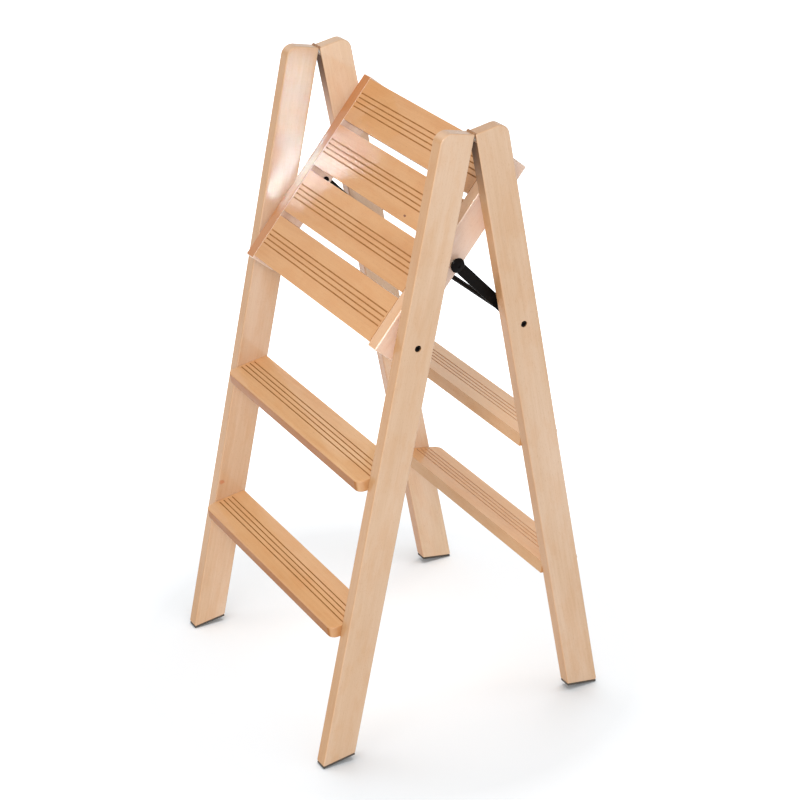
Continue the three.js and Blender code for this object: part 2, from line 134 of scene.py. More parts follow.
# %% Matrices of the frames and the platform
pad_depth = SEAT_GAP + PAD_THICK
pad_outer = LEG_WIDTH - PAD_INSET
APEX = (
    LEG_LENGTH + pad_outer * tan(OPEN_LEAN) + pad_depth * cos(OPEN_LEAN)
) * cos(REST_LEAN) - (pad_outer - pad_depth * sin(OPEN_LEAN)) * sin(REST_LEAN)

lean = Matrix.Rotation(-REST_LEAN, 4, "X")
TO_FRONT = Matrix.Translation((0, 0, APEX)) @ lean
TO_REAR = Matrix.Translation((0, 0, APEX)) @ Matrix.Rotation(pi, 4, "Z") @ lean
TO_FRAME = {"front": TO_FRONT, "rear": TO_REAR}

pivot = TO_FRONT @ Vector((0, -PIVOT_FROM_MATING, -PIVOT_DROP))
rod_centre = TO_REAR @ Vector((0, -PIVOT_FROM_MATING, -PIVOT_DROP))
TO_PLATFORM = Matrix.Translation(pivot) @ Matrix.Rotation(PLATFORM_SLOPE, 4, "X")
pin_centre = TO_PLATFORM @ Vector((0, *STRUT_PIN))
to_pin = pin_centre - rod_centre
STRUT_SPAN = hypot(to_pin.y, to_pin.z)
TO_STRUT = Matrix.Translation(rod_centre) @ Matrix.Rotation(atan2(-to_pin.z, -to_pin.y), 4, "X")
print("hinge line at", round(APEX, 4), "m, pivots at", [round(v, 4) for v in pivot])

# %% [markdown]
# ## Working by hand in code
#
# An operator acts on whatever is selected. These helpers keep exactly one piece selected,
# pick faces and edges by a test of their own place or bend, and shade a finished piece.

# %% Selecting and finishing
CLOSE = 0.02 * MM
SMOOTH_BELOW = radians(35)


def only(piece):
    """Leaves edit mode and selects just this piece."""
    if bpy.context.object and bpy.context.object.mode != "OBJECT":
        bpy.ops.object.mode_set(mode="OBJECT")
    bpy.ops.object.select_all(action="DESELECT")
    piece.select_set(True)
    bpy.context.view_layer.objects.active = piece


def pick(kind, test):
    """In edit mode, selects just the verts, edges or faces that pass the test."""
    mesh = bpy.context.object.data
    bm = bmesh.from_edit_mesh(mesh)
    bpy.ops.mesh.select_all(action="DESELECT")
    bm.select_mode = {kind[:-1].upper()}
    found = [part for part in getattr(bm, kind) if test(part)]
    for part in found:
        part.select_set(True)
    bm.select_flush_mode()
    bmesh.update_edit_mesh(mesh)
    return len(found)


def block(name, low, high):
    """A box from its lowest to its highest corner, left in edit mode to be shaped."""
    bpy.ops.object.select_all(action="DESELECT")
    low, high = Vector(low), Vector(high)
    bpy.ops.mesh.primitive_cube_add(size=1, location=(low + high) / 2, scale=high - low)
    piece = bpy.context.object
    piece.name = piece.data.name = name
    bpy.ops.object.transform_apply(location=True, rotation=True, scale=True)
    bpy.ops.object.mode_set(mode="EDIT")
    return piece


def smooth(piece):
    only(piece)
    bpy.ops.object.shade_smooth_by_angle(angle=SMOOTH_BELOW)


def same(a, b):
    return abs(a - b) < CLOSE


def sharp(angle):
    """A test for edges that bend by more than the angle."""
    return lambda edge: edge.calc_face_angle(0) > radians(angle)


# %% [markdown]
# Pieces that repeat are drawn once. A copy gets its own mesh, is turned over where it
# belongs to the other side, and goes to its place with its body, while the CAD solid that
# it stands for is hidden.
# Weighted normals keep its broad faces optically flat, so that only the rounded edges
# bend a reflection.


# %% Copies in their places
def put(drawn, name, node, matrix, body, material, mirrored=False):
    piece = drawn.copy()
    piece.data = drawn.data.copy()
    piece.name = piece.data.name = name
    bpy.context.scene.collection.objects.link(piece)
    side = Matrix.Diagonal((-1, 1, 1, 1)) if mirrored else Matrix.Identity(4)
    piece.data.transform(matrix @ side)
    if mirrored:
        piece.data.flip_normals()
    for number, finish in enumerate(material if isinstance(material, list) else [material]):
        if number == len(piece.data.materials):
            piece.data.materials.append(finish)
        piece.data.materials[number] = finish
    only(piece)
    even = piece.modifiers.new("even", "WEIGHTED_NORMAL")
    even.keep_sharp, even.weight = True, 100
    bpy.ops.object.modifier_apply(modifier=even.name)
    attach(piece, body)
    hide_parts(node)
    print(f"{name}: {len(piece.data.polygons)} faces, on {body}")


def discard(*drawings):
    for drawing in drawings:
        bpy.data.objects.remove(drawing)


# %% [markdown]
# ## A shader toolbox
#
# Node trees read best when each step is one line: make a node, give it its inputs, and use
# its result in the next. The helper takes numbers, colours or the outputs of other nodes.
# A shader is a tree with a surface at its end.


# %% Building node trees
class Tree:
    def __init__(self, tree):
        self.tree = tree

    def add(self, kind, inputs=(), result=0, **settings):
        node = self.tree.nodes.new(kind)
        for key, value in settings.items():
            setattr(node, key, value)
        for key, value in dict(inputs).items():
            self.set(node.inputs[key], value)
        return node.outputs[result]

    def set(self, socket, value):
        if isinstance(value, bpy.types.NodeSocket):
            self.tree.links.new(value, socket)
        else:
            socket.default_value = value

    def math(self, operation, a, b=0.0, c=0.0):
        return self.add("ShaderNodeMath", {0: a, 1: b, 2: c}, operation=operation)

    def blend(self, factor, a, b, mode="MIX"):
        inputs = {0: factor, 6: a, 7: b}
        return self.add("ShaderNodeMix", inputs, result=2, data_type="RGBA", blend_type=mode)

    def spread(self, value, low, high, to_low=0.0, to_high=1.0):
        """Maps low..high smoothly to to_low..to_high."""
        inputs = {"Value": value, 1: low, 2: high, 3: to_low, 4: to_high}
        return self.add("ShaderNodeMapRange", inputs, interpolation_type="SMOOTHSTEP")

    def seen(self):
        """1 for what the camera and reflections see, 0 for what lights the rest."""
        rays = [self.add("ShaderNodeLightPath", result=f"Is {kind} Ray")
                for kind in ("Camera", "Glossy", "Transmission")]
        return self.math("MAXIMUM", rays[0], self.math("MAXIMUM", rays[1], rays[2]))


class Shader(Tree):
    def __init__(self, name):
        self.material = bpy.data.materials.new(name)
        self.material.use_nodes = True
        super().__init__(self.material.node_tree)

    def finish(self, **sockets):
        surface = self.tree.nodes["Principled BSDF"]
        for key, value in sockets.items():
            self.set(surface.inputs[key.replace("_", " ")], value)
        return self.material


def tint(red, green, blue):
    """A screen colour of 0 to 255, as the linear colour that a socket takes."""
    def linear(value):
        value /= 255
        return value / 12.92 if value <= 0.04045 else ((value + 0.055) / 1.055) ** 2.4
    return (linear(red), linear(green), linear(blue), 1)


# %% [markdown]
# ## Lacquered beech
#
# Beech is pale and even. What the eye reads as beech is a slow drift between a pinkish and
# a yellowish tan, faint growth rings, fine fibres along the board, and short brown flecks
# where the rays are cut. The pattern is made in three dimensions, in the board's own
# directions, so it runs through from face to face and shows end grain where a board ends.


# %% A board's own directions
def board_space(s, turn, axis, seed):
    """Object coordinates as (along the grain, across, through), moved for each board."""
    place = s.add("ShaderNodeTexCoord", result="Object")
    shift = Vector((0.37 * seed, 0.053 * seed + 0.045, 0.029 * (seed % 5) + 0.03))
    turned = s.add("ShaderNodeMapping", {"Vector": place, "Rotation": (turn, 0, 0)})
    x, y, z = (s.add("ShaderNodeSeparateXYZ", {0: turned}, result=k) for k in range(3))
    along, across, through = {"X": (x, y, z), "Y": (y, z, x), "Z": (z, y, x)}[axis]
    joined = s.add("ShaderNodeCombineXYZ", {0: along, 1: across, 2: through})
    return s.add("ShaderNodeVectorMath", {0: joined, 1: shift}, operation="ADD")


def board_facing(s, turn, axis):
    """How far a face looks along the grain, across the board and through its thickness."""
    normal = s.add("ShaderNodeTexCoord", result="Normal")
    turned = s.add("ShaderNodeMapping", {"Vector": normal, "Rotation": (turn, 0, 0)},
                   vector_type="VECTOR")
    x, y, z = (
        s.math("ABSOLUTE", s.add("ShaderNodeSeparateXYZ", {0: turned}, result=k))
        for k in range(3)
    )
    return {"X": (x, y, z), "Y": (y, z, x), "Z": (z, y, x)}[axis]


def stretched(s, place, along, across, through=None):
    """A place counted in cells, with so many cells to the metre each way."""
    scale = (along, across, across if through is None else through)
    return s.add("ShaderNodeVectorMath", {0: place, 1: scale}, operation="MULTIPLY")


def noise(s, place, detail=2.0, roughness=0.5):
    return s.add("ShaderNodeTexNoise", {
        "Vector": place, "Scale": 1.0, "Detail": detail, "Roughness": roughness,
    })


def stain(s, amount, tone, red, green, blue):
    """Darkens a tone by the three shares, as far as the amount says."""
    stained = s.blend(1.0, tone, (red, green, blue, 1), "MULTIPLY")
    return s.blend(amount, tone, stained)


# %% [markdown]
# Two things are laid over the grain at a fixed place on the stool: a soft-edged mark, where
# a board has a knot, and a painted brown shade on the mating faces under the hinges, where
# the legs lie against each other and keep the light from each other.

# %% Marks and painted shade
PAINTED_SHADE_BROWN = tint(94, 56, 18)
SHADE_LOW, SHADE_HIGH, SHADE_FULL = 0.79, 0.90, 0.85
SHADE_INNER, SHADE_OUTER = 0.030, 0.040


def painted_hinge_shade(s):
    """Painted shade: full on the mating faces just under the hinges, gone some 11 cm further
    down.
    """
    place = s.add("ShaderNodeTexCoord", result="Object")
    y, z = (s.add("ShaderNodeSeparateXYZ", {0: place}, result=k) for k in (1, 2))
    inner = s.spread(s.math("ABSOLUTE", y), SHADE_INNER, SHADE_OUTER, 1.0, 0.0)
    return s.math("MULTIPLY", inner, s.spread(z, SHADE_LOW, SHADE_HIGH, 0.0, SHADE_FULL))


def spot_mask(s, centre, size, strength):
    """A small soft-edged mark, longer along one direction, at a place on the stool."""
    place = s.add("ShaderNodeTexCoord", result="Object")
    away = s.add("ShaderNodeVectorMath", {0: place, 1: centre}, operation="SUBTRACT")
    scaled = s.add("ShaderNodeVectorMath", {0: away, 1: size}, operation="DIVIDE")
    wobble = noise(s, s.add("ShaderNodeVectorMath", {0: scaled, 1: (0.9, 0.9, 0.9)},
                            operation="MULTIPLY"), detail=2)
    distance = s.add("ShaderNodeVectorMath", {0: scaled}, result="Value", operation="LENGTH")
    ragged = s.math("MULTIPLY_ADD", wobble, 0.8, s.math("SUBTRACT", distance, 0.4))
    return s.spread(ragged, 0.55, 1.15, strength, 0.0)


# %% [markdown]
# A board's tone is built up in layers: the slow drift, mottling, rings, fibres, flecks, end
# grain, and the rims, which are warmer; on the rails the rims are pale instead, as a painted
# highlight along the arrises. The thin clear coat is a little wavy, as brushed lacquer is. A
# wave texture repeats every tenth of pi at scale one.

# %% The beech shader
RING_PITCH, WAVE_PERIOD = 7.5 * MM, pi / 10
BROAD_COAT, COAT_ROUGHNESS = 0.55, 0.055


def beech(name, turn, axis, seed, tones, spots=(), shade=False, narrow_coat=0.5):
    """tones: the two that the board drifts between, its rims, and its narrow faces."""
    pale, warm, rim_tone, narrow_tone = tones
    s = Shader(name)
    place = board_space(s, turn, axis, seed)
    facing_end, facing_edge, facing_flat = board_facing(s, turn, axis)

    drift = noise(s, stretched(s, place, 2.2, 21), detail=2)
    wander = noise(s, stretched(s, place, 1.3, 7), detail=1)
    bent = s.add("ShaderNodeVectorMath", {0: place, 1: s.add("ShaderNodeCombineXYZ", {
        1: s.math("MULTIPLY", wander, 0.09), 2: s.math("MULTIPLY", drift, 0.02)})},
        operation="ADD")
    rings = s.add("ShaderNodeTexWave", {
        "Vector": stretched(s, bent, 0.06, 1), "Scale": WAVE_PERIOD / RING_PITCH,
        "Distortion": 1.2, "Detail": 2.0, "Detail Scale": 1.5,
    }, result="Fac", wave_type="RINGS", rings_direction="X", wave_profile="SIN")
    mottle = noise(s, stretched(s, place, 17, 46), detail=3, roughness=0.6)
    fibres = noise(s, stretched(s, place, 16, 700), detail=3, roughness=0.6)
    grit = noise(s, stretched(s, place, 230, 2300, 1300), detail=1)
    flecks = s.spread(grit, 0.63, 0.76)

    tone = s.blend(s.spread(drift, 0.36, 0.64), pale, warm)
    narrow = s.spread(facing_edge, 0.75, 0.97)
    tone = s.blend(narrow, tone, narrow_tone)
    tone = stain(s, s.spread(mottle, 0.42, 0.66, 0.0, 0.7), tone, 0.97, 0.90, 0.82)
    ring_share = s.math("MULTIPLY", rings, s.spread(drift, 0.35, 0.6, 0.04, 0.22))
    tone = stain(s, ring_share, tone, 0.90, 0.84, 0.78)
    tone = stain(s, s.spread(fibres, 0.35, 0.75, 0.0, 0.36), tone, 0.88, 0.82, 0.76)
    tone = stain(s, s.math("MULTIPLY", flecks, 0.5), tone, 0.66, 0.50, 0.38)
    tone = stain(s, s.spread(facing_end, 0.7, 0.96, 0.0, 0.8), tone, 0.78, 0.68, 0.58)

    flattest = s.math("MAXIMUM", facing_end, s.math("MAXIMUM", facing_edge, facing_flat))
    rim = s.spread(flattest, 0.80, 0.985, 1.0, 0.0)
    tone = s.blend(s.math("MULTIPLY", rim, 0.6), tone, rim_tone)

    for centre, size, colour, strength in spots:
        tone = s.blend(spot_mask(s, centre, size, strength), tone, colour)

    # Painted shade: the mating faces under the hinges turn brown.
    if shade:
        dark = s.math("MULTIPLY", painted_hinge_shade(s), narrow)
        tone = s.blend(dark, tone, PAINTED_SHADE_BROWN)

    height = s.math("MULTIPLY_ADD", flecks, -0.35, s.math("MULTIPLY", fibres, 0.6))
    bump = s.add("ShaderNodeBump", {
        "Height": height, "Strength": 0.16, "Distance": 0.10 * MM,
    })
    gloss = s.spread(noise(s, stretched(s, place, 14, 60), detail=2), 0.3, 0.7, 0.34, 0.46)
    waves = s.add("ShaderNodeBump", {"Height": noise(s, stretched(s, place, 40, 90), detail=1),
                                     "Strength": 1.0, "Distance": 0.02 * MM})
    lacquer, shine = s.spread(narrow, 0, 1, BROAD_COAT, narrow_coat), 0.2
    # Under the painted shade, coat and shine fade too, so that it stays dark.
    if shade:
        clear = s.math("SUBTRACT", 1.0, dark)
        lacquer, shine = s.math("MULTIPLY", lacquer, clear), s.math("MULTIPLY", shine, clear)
    return s.finish(Base_Color=tone, Roughness=gloss, Normal=bump, IOR=1.46,
                    Specular_IOR_Level=shine, Coat_Weight=lacquer, Coat_Roughness=COAT_ROUGHNESS,
                    Coat_IOR=1.5, Coat_Normal=waves)


# %% [markdown]
# The legs are a little pinker than the treads and slats. Their narrow faces are more
# golden, and the front treads' narrow faces, which look down, are painted browner still, as
# painted shade. One rear leg and the rear treads come from paler boards, and the rear
# treads' narrow faces are painted paler still, as painted light where the front frame
# shades them. The rails are painted paler, as painted light where the legs shade them.
# Every board has its own seed and so its own figure.

# %% Tones of the boards
LEG_PALE, LEG_WARM = tint(229, 196, 166), tint(222, 185, 150)
LEG_NARROW, LEG_RIM = tint(204, 157, 111), tint(216, 172, 132)
STEP_RIM = tint(206, 152, 104)
LEG_TONES = (LEG_PALE, LEG_WARM, LEG_RIM, LEG_NARROW)
PALE_LEG_TONES = (tint(243, 212, 182), tint(237, 204, 170), LEG_RIM, tint(206, 154, 110))
# Painted light: the rails' faces are paler where the legs shade them, and their rims are pale, a
# painted highlight along the arrises.
RAIL_TONES = {
    side: (tint(240, 214, 197), tint(234, 204, 184), tint(250, 224, 200), narrow)
    for side, narrow in (("left", tint(200, 134, 83)), ("right", tint(216, 174, 137)))
}
# Painted shade and light: the front treads' narrow faces are browner as painted shade, the rear
# treads' narrow faces paler as painted light.
TREAD_TONES = {
    ("front", "upper"): (tint(236, 192, 143), tint(229, 180, 130), STEP_RIM, tint(172, 107, 40)),
    ("front", "lower"): (tint(230, 182, 132), tint(222, 170, 118), STEP_RIM, tint(172, 107, 40)),
    ("rear", "upper"): (tint(246, 202, 154), tint(240, 194, 144), STEP_RIM, tint(218, 176, 134)),
    ("rear", "lower"): (tint(240, 192, 143), tint(234, 184, 133), STEP_RIM, tint(214, 172, 130)),
}
SLAT_TONES = (tint(222, 167, 113), tint(215, 158, 103), STEP_RIM, tint(200, 146, 96))
LEG_SEED, TREAD_SEED, RAIL_SEED, SLAT_SEED = 3, 11, 21, 31

# %% [markdown]
# Treads and slats have hardly any lacquer left on their narrow faces. A groove's floor is
# rough, and its cut faces are painted a darker brown, as painted shade inside the groove. In
# the rear treads they are painted much paler, as painted light that lifts most of that shade.


# %% Beech for legs, steps and grooves
def leg_beech(name, turn, seed, tones, spots=()):
    return beech(name, turn, "Z", seed, tones, spots, shade=True)


def step_beech(name, turn, seed, tones, spots=()):
    return beech(name, turn, "X", seed, tones, spots, narrow_coat=0.1)


def groove_beech(name, deep, light):
    """The cut surface of a groove, between two tones."""
    s = Shader(name)
    place = s.add("ShaderNodeTexCoord", result="Object")
    grain = noise(s, stretched(s, place, 60, 900), detail=2)
    tone = s.blend(s.spread(grain, 0.3, 0.7), deep, light)
    bump = s.add("ShaderNodeBump", {"Height": grain, "Strength": 0.3, "Distance": 0.1 * MM})
    return s.finish(Base_Color=tone, Roughness=0.7, Normal=bump, Specular_IOR_Level=0.1)


# Painted shade in the grooves, and in the rear treads painted light that lifts most of it.
groove_painted_shade = groove_beech("beech_groove", tint(170, 115, 66), tint(196, 140, 87))
groove_painted_light = groove_beech("beech_groove_painted_light", tint(210, 166, 128), tint(222, 180, 142))
print("groove finishes:", groove_painted_shade.name, groove_painted_light.name)

# %% [markdown]
# ## Painted steel, zinc and rubber
#
# The struts, caps, rod and bolts are painted satin black. Paint is never quite smooth: a
# fine orange peel breaks up its highlights, and it rubs thin on sharp rims. The hinges are
# zinc plated, with a faint cloudy grain. The foot pads are matt rubber.

# %% Metal and rubber
DEEP_BLACK, SOFT_BLACK = (0.0044, 0.0033, 0.0027, 1), (0.0078, 0.0060, 0.0049, 1)
BARE_STEEL = (0.045, 0.042, 0.040, 1)
RUBBER_DARK, RUBBER_DUSTY = (0.080, 0.069, 0.058, 1), (0.130, 0.112, 0.092, 1)


def worn_edges(s, reach):
    """1 on a sharp rim, 0 on the flat: where a rounded normal leaves the true one."""
    rounded = s.add("ShaderNodeBevel", {"Radius": reach}, samples=4)
    true = s.add("ShaderNodeNewGeometry", result="Normal")
    cosine = s.add("ShaderNodeVectorMath", {0: rounded, 1: true}, result="Value",
                   operation="DOT_PRODUCT")
    return s.spread(cosine, 0.80, 0.97, 1.0, 0.0)


def black_paint(name, sheen):
    s = Shader(name)
    place = s.add("ShaderNodeTexCoord", result="Object")
    peel = noise(s, stretched(s, place, 900, 900), detail=2)
    clouds = noise(s, stretched(s, place, 120, 120), detail=3)
    tone = s.blend(s.spread(clouds, 0.35, 0.75), DEEP_BLACK, SOFT_BLACK)
    wear = s.math("MULTIPLY", worn_edges(s, 0.5 * MM), s.spread(clouds, 0.4, 0.7, 0.1, 0.6))
    tone = s.blend(wear, tone, BARE_STEEL)
    bump = s.add("ShaderNodeBump", {"Height": peel, "Strength": 0.22, "Distance": 0.08 * MM})
    rough = s.spread(clouds, 0.3, 0.7, sheen - 0.05, sheen + 0.07)
    return s.finish(Base_Color=tone, Roughness=rough, Normal=bump, Specular_IOR_Level=0.05)


def zinc_plate(name, dull, bright, metallic=1.0):
    s = Shader(name)
    place = s.add("ShaderNodeTexCoord", result="Object")
    clouds = noise(s, stretched(s, place, 260, 260), detail=3)
    scratches = noise(s, stretched(s, place, 5000, 300), detail=1)
    tone = s.blend(s.spread(clouds, 0.3, 0.7), dull, bright)
    # Pale rims: partly worn plating, partly a painted highlight along the sharp edges.
    tone = s.blend(s.math("MULTIPLY", worn_edges(s, 0.3 * MM), 0.6), tone, tint(226, 222, 210))
    bump = s.add("ShaderNodeBump", {"Height": scratches, "Strength": 0.12,
                                    "Distance": 0.05 * MM})
    rough = s.spread(scratches, 0.3, 0.7, 0.26, 0.42)
    return s.finish(Base_Color=tone, Metallic=metallic, Roughness=rough, Normal=bump)


def pad_rubber(name):
    s = Shader(name)
    place = s.add("ShaderNodeTexCoord", result="Object")
    grain = noise(s, stretched(s, place, 1400, 1400), detail=2)
    dust = noise(s, stretched(s, place, 90, 90), detail=3)
    tone = s.blend(s.spread(dust, 0.4, 0.75, 0.0, 0.5), RUBBER_DARK, RUBBER_DUSTY)
    bump = s.add("ShaderNodeBump", {"Height": grain, "Strength": 0.3, "Distance": 0.1 * MM})
    return s.finish(Base_Color=tone, Roughness=0.78, Normal=bump)


paint = black_paint("black_paint", 0.40)
cap_gloss = black_paint("black_cap", 0.16)
zinc = zinc_plate("zinc_plate", tint(176, 172, 160), tint(206, 203, 192))
# Painted shade: this brown zinc stands for the dark crease between the legs.
zinc_in_painted_shade = zinc_plate("zinc_painted_shade", tint(150, 104, 66), tint(176, 128, 86), 0.3)
rubber = pad_rubber("pad_rubber")
print("finishes:", [m.name for m in (paint, cap_gloss, zinc, zinc_in_painted_shade, rubber)])

# %% [markdown]
# ## Legs
#
# A leg is one plain board, 929 mm long on the edge that meets the other frame. Its foot is
# cut at 20 degrees, to stand flat when the stool is fully open, and its outer top corner is
# rounded. It starts as a block. The foot's outer corner is pulled down, the top corner
# gets a wide bevel, and a bevel all round softens the edges as a router would.


# %% A leg, drawn upright
def draw_leg():
    foot = LEG_LENGTH + MATING_GAP * tan(OPEN_LEAN)
    leg = block("leg", (LEG_INNER, -LEG_WIDTH, -foot), (HALF, -MATING_GAP, 0))
    pick("verts", lambda v: v.co.z < -foot / 2 and v.co.y < -LEG_WIDTH / 2)
    slope = (LEG_WIDTH - MATING_GAP) * tan(OPEN_LEAN)
    bpy.ops.transform.translate(value=(0, 0, -slope))
    pick("edges", lambda e: all(v.co.z > -MM and v.co.y < -LEG_WIDTH / 2 for v in e.verts))
    bpy.ops.mesh.bevel(offset=LEG_TOP_RADIUS, segments=12)
    pick("edges", lambda e: all(same(v.co.z, -foot - slope) for v in e.verts))
    bpy.ops.mesh.bevel(offset=FOOT_ROUND, segments=5)
    pick("edges", sharp(30))
    bpy.ops.mesh.bevel(offset=BOARD_ROUND, segments=4, clamp_overlap=True)
    bpy.ops.object.mode_set(mode="OBJECT")
    return leg


def cylinder(name, radius, start, end, y=0.0, z=0.0, sides=48):
    """A round bar along X, in object mode."""
    bpy.ops.object.select_all(action="DESELECT")
    bpy.ops.mesh.primitive_cylinder_add(
        vertices=sides, radius=radius, depth=end - start, location=((start + end) / 2, y, z),
        rotation=(0, pi / 2, 0))
    bar = bpy.context.object
    bar.name = bar.data.name = name
    bpy.ops.object.transform_apply(location=True, rotation=True, scale=True)
    return bar


def carve(piece, *cutters):
    """Cuts the cutters out of the piece, and throws the cutters away."""
    for cutter in cutters:
        only(piece)
        saw = piece.modifiers.new("saw", "BOOLEAN")
        saw.operation, saw.object, saw.solver = "DIFFERENCE", cutter, "EXACT"
        bpy.ops.object.modifier_apply(modifier=saw.name)
    discard(*cutters)


# %% [markdown]
# Two things are cut into a leg: the counterbore for the bolt of the platform or of the
# rod, and the shallow recess that lets the hinge sink in between the two mating edges.

# %% Bolt hole and hinge recess
leg = draw_leg()
shoulder = HALF - HEAD_SINK - BOLT_HEAD_LENGTH - SEAT_GAP
counterbore = cylinder("counterbore", BOLT_HEAD_RADIUS + SEAT_GAP, shoulder, HALF + OVER,
                       -PIVOT_FROM_MATING, -PIVOT_DROP)
leaf_side = LEAF_WIDTH / 2 + SEAT_GAP
leaf_floor = MATING_GAP + LEAF_THICK + SEAT_GAP
recess = block("recess", (HINGE_CENTRE - leaf_side, -leaf_floor, -LEAF_LENGTH - SEAT_GAP),
               (HINGE_CENTRE + leaf_side, OVER, OVER))
bpy.ops.object.mode_set(mode="OBJECT")
knuckle = cylinder("knuckle", KNUCKLE_RADIUS + SEAT_GAP, HINGE_CENTRE - leaf_side,
                   HINGE_CENTRE + leaf_side)
carve(leg, counterbore, recess, knuckle)
smooth(leg)
print("leg:", len(leg.data.polygons), "faces,", [round(v, 4) for v in leg.dimensions], "m")

# %% [markdown]
# The same leg serves four times. The left front leg has a small amber mark low on its inner
# face, and a warmer cloud further up, as beech often has.

# %% The four legs
INSIDE_LEFT = -LEG_INNER
LEG_MARKS = {
    ("front", "left"): [
        ((INSIDE_LEFT, -0.181, 0.2505), (0.02, 0.005, 0.004), tint(206, 130, 92), 0.75),
        ((INSIDE_LEFT, -0.078, 0.66), (0.02, 0.016, 0.03), tint(226, 176, 134), 0.6),
    ],
}
for number, (end, side, mirrored) in enumerate(CORNERS):
    turn = REST_LEAN if end == "front" else -REST_LEAN
    marks = LEG_MARKS.get((end, side), ())
    tones = PALE_LEG_TONES if (end, side) == ("rear", "left") else LEG_TONES
    finish = leg_beech(f"beech_leg_{end}_{side}", turn, LEG_SEED + number, tones, marks)
    put(leg, f"leg_{end}_{side}", f"{end}_leg_{side}", TO_FRAME[end], f"{end}_frame",
        finish, mirrored)
discard(leg)

# %% [markdown]
# ## Grooved steps
#
# Treads and platform slats are the same kind of board: long edges rounded, and four narrow
# grooves milled along the top so that a foot doesn't slip. The top face is cut into strips
# with bisect, the four strips are pushed down into the wood, and their lips are broken
# slightly, as sanding leaves them.


# %% A grooved board, top face at Z = 0
def draw_step(name, half, front, rear, thick, corner, groove_inset):
    step = block(name, (-half, front, -thick), (half, rear, 0))
    if corner:
        pick("edges", lambda e: all(same(v.co.y, front) for v in e.verts)
             and same(e.verts[0].co.x, e.verts[1].co.x))
        bpy.ops.mesh.bevel(offset=corner, segments=10)
    pick("edges", lambda e: same(e.verts[0].co.z, e.verts[1].co.z)
         and not all(same(abs(v.co.x), half) for v in e.verts))
    bpy.ops.mesh.bevel(offset=STEP_ROUND, segments=4)
    middle, reach = (front + rear) / 2, half - groove_inset
    centres = [middle + (k - (GROOVE_COUNT - 1) / 2) * GROOVE_PITCH for k in range(GROOVE_COUNT)]

    def on_top(face):
        return face.normal.z > 0.999 and face.calc_center_median().z > -CLOSE

    def in_groove(face):
        spot = face.calc_center_median()
        return on_top(face) and abs(spot.x) < reach and any(
            abs(spot.y - centre) < GROOVE_WIDTH / 2 for centre in centres)

    for centre in centres:
        for edge in (-GROOVE_WIDTH / 2, GROOVE_WIDTH / 2):
            pick("faces", on_top)
            bpy.ops.mesh.bisect(plane_co=(0, centre + edge, 0), plane_no=(0, 1, 0))
    for stop in (-reach, reach):
        pick("faces", on_top)
        bpy.ops.mesh.bisect(plane_co=(stop, 0, 0), plane_no=(1, 0, 0))
    found = pick("faces", in_groove)
    bpy.ops.mesh.extrude_region_move(TRANSFORM_OT_translate={"value": (0, 0, -GROOVE_DEPTH)})
    pick("edges", groove_lip)
    bpy.ops.mesh.bevel(offset=GROOVE_LIP, segments=2)
    bpy.ops.object.mode_set(mode="OBJECT")
    paint_grooves(step, centres, reach)
    smooth(step)
    print(name + ":", found, "groove strips,", len(step.data.polygons), "faces")
    return step


def groove_lip(edge):
    """True for an edge between the flat top and a groove's upright side."""
    faces = edge.link_faces
    if len(faces) != 2:
        return False
    up = sorted(abs(f.normal.z) for f in faces)
    level = all(same(v.co.z, 0) for v in edge.verts)
    return level and up[0] < 0.01 and up[1] > 0.99 and min(
        f.calc_center_median().z for f in faces) > -GROOVE_DEPTH


def paint_grooves(step, centres, reach):
    """Gives the grooves' lips, sides and floors the second material."""
    step.data.materials.append(bpy.data.materials.new("board"))
    step.data.materials.append(groove_painted_shade)
    for face in step.data.polygons:
        heights = [step.data.vertices[v].co.z for v in face.vertices]
        within = max(abs(step.data.vertices[v].co.x) for v in face.vertices) < reach + MM
        cut = -GROOVE_DEPTH - CLOSE < min(heights) < -CLOSE
        if cut and within and min(abs(face.center.y - c) for c in centres) < GROOVE_WIDTH:
            face.material_index = 1


# %% [markdown]
# ## Treads
#
# Each frame has two treads. They stand out in front of the legs, so their front corners
# are rounded, and they lie level once the stool is open. The ends butt against the legs.

# %% The four treads
tread_half = LEG_INNER - SEAT_GAP
tread = draw_step("tread", tread_half, -TREAD_DEPTH, 0, TREAD_THICK, TREAD_CORNER,
                  TREAD_GROOVE_INSET)
tip = OPEN_LEAN - REST_LEAN
for number, (end, turn) in enumerate((("front", -tip), ("rear", tip))):
    for level, drop in TREAD_DROPS.items():
        place = TO_FRAME[end] @ Matrix.Translation((0, -TREAD_FROM_MATING, -drop))
        place = place @ Matrix.Rotation(OPEN_LEAN, 4, "X")
        seed = TREAD_SEED + 2 * number + (level == "lower")
        finish = step_beech(f"beech_tread_{end}_{level}", turn, seed, TREAD_TONES[end, level])
        put(tread, f"tread_{end}_{level}", f"{end}_tread_{level}", place, f"{end}_frame",
            [finish, groove_painted_shade if end == "front" else groove_painted_light])
discard(tread)

# %% [markdown]
# ## Platform
#
# The platform is two rails with four slats between them. The slats' ends meet the rails'
# inner faces, and their tops are flush with the rails. The rails are leg boards, cut
# narrower. Their inner top edge, where the slats were sanded flush after gluing, is only
# just broken.

